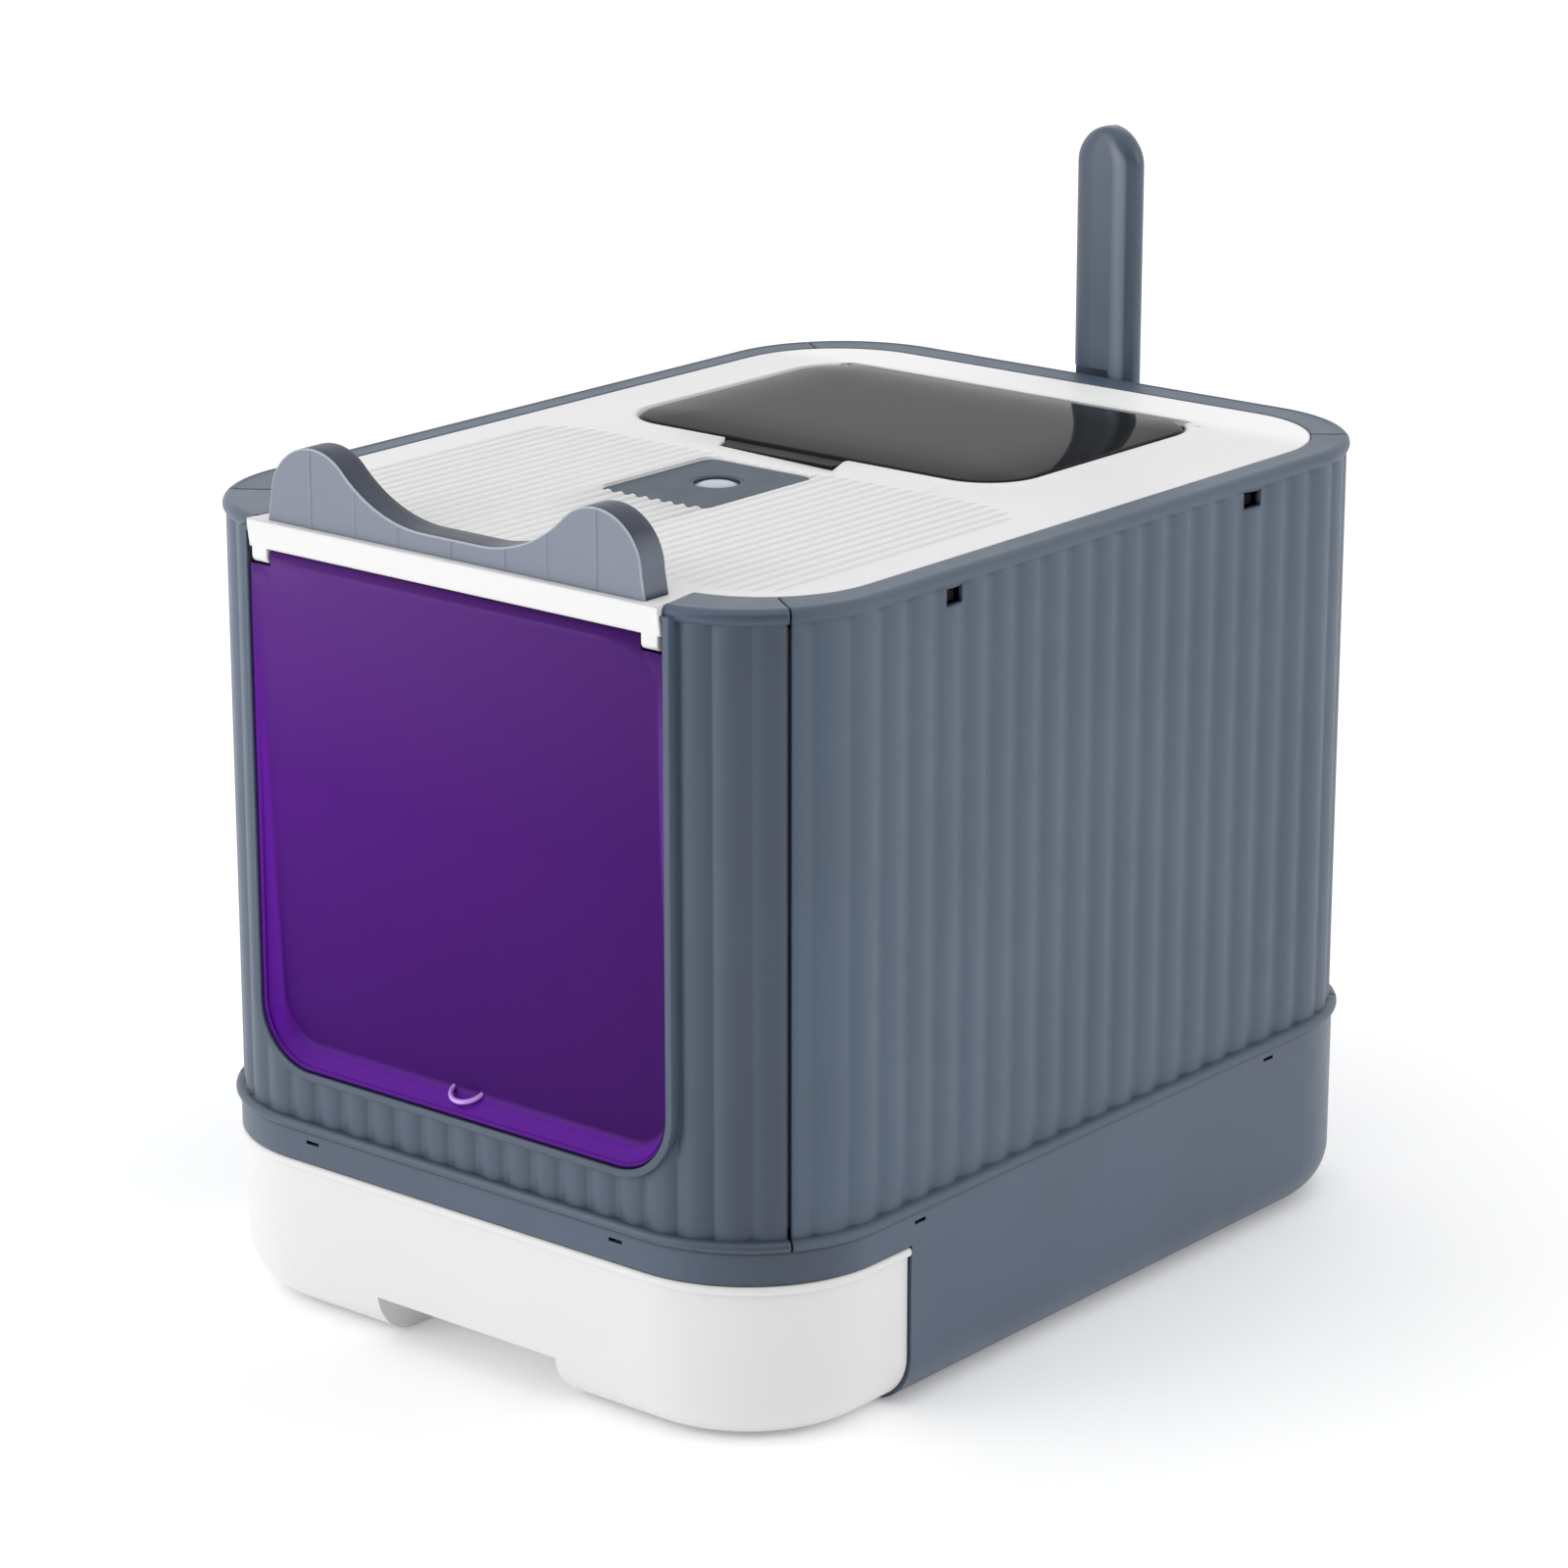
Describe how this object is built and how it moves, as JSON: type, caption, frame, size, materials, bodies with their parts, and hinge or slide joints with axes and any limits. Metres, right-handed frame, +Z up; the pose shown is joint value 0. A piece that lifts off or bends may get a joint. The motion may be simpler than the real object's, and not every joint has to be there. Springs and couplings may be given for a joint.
{
  "type": "self-cleaning litter box",
  "caption": "Enclosed litter box with fluted snap-in walls, pull-out drawer, dished swing door, smoked roof flap, cat-ear crest, inset odour unit and a scoop behind the rear wall",
  "frame": {"origin": "centre of the box's plan on the floor", "axes": "+X to the right seen from the front, +Y from the door to the rear wall, +Z up"},
  "size_m": [0.3952, 0.5478, 0.545],
  "materials": {
    "slate": "fine-grained slate plastic",
    "satin_slate": "satin slate plastic",
    "white": "white plastic",
    "smoked": "smoked clear plastic",
    "black": "black plastic",
    "purple": "purple clear plastic",
    "pale_button": "pale translucent plastic",
    "steel": "drawn steel pin",
    "board": "solder mask",
    "battery": "shrink sleeve"
  },
  "bodies": {
    "box": {"base_housing": "slate", "front_panel": "slate", "left_panel": "slate", "right_panel": "slate", "rear_panel": "slate", "lid": "white", "lid_latches": "slate", "cat_ear_crest": "satin_slate", "window_hinge_pins": "steel", "door_hinge_pins": "steel", "module_housing": "white", "module_cover": "satin_slate", "button_ring": "satin_slate", "circuit_board": "board", "tact_switch": "black", "battery": "battery", "board_screws": "steel", "scoop_holder": "slate"},
    "drawer": {"drawer": "white"},
    "door": {"door_flap": "purple"},
    "window": {"window_flap": "smoked", "window_tab": "black"},
    "button": {"module_button": "pale_button"},
    "scoop": {"scoop": "satin_slate"}
  },
  "joints": [
    {"name": "drawer_slide", "type": "slide", "parent": "box", "child": "drawer", "axis": [0, -1, 0], "range_m": [0, 0.36]},
    {"name": "door_hinge", "type": "hinge", "parent": "box", "child": "door", "pos_m": [0, -0.254, 0.3925], "axis": [1, 0, 0], "range_deg": [-85, 72]},
    {"name": "window_hinge", "type": "hinge", "parent": "box", "child": "window", "pos_m": [-0.005, 0.1815, 0.4119], "axis": [-1, 0, 0], "range_deg": [0, 100]},
    {"name": "button_press", "type": "slide", "parent": "box", "child": "button", "axis": [0, 0, -1], "range_m": [0, 0.001], "stiffness_N_per_m": 800},
    {"name": "scoop_lift", "type": "slide", "parent": "box", "child": "scoop", "axis": [0, 0, 1], "range_m": [0, 0.15]}
  ]
}
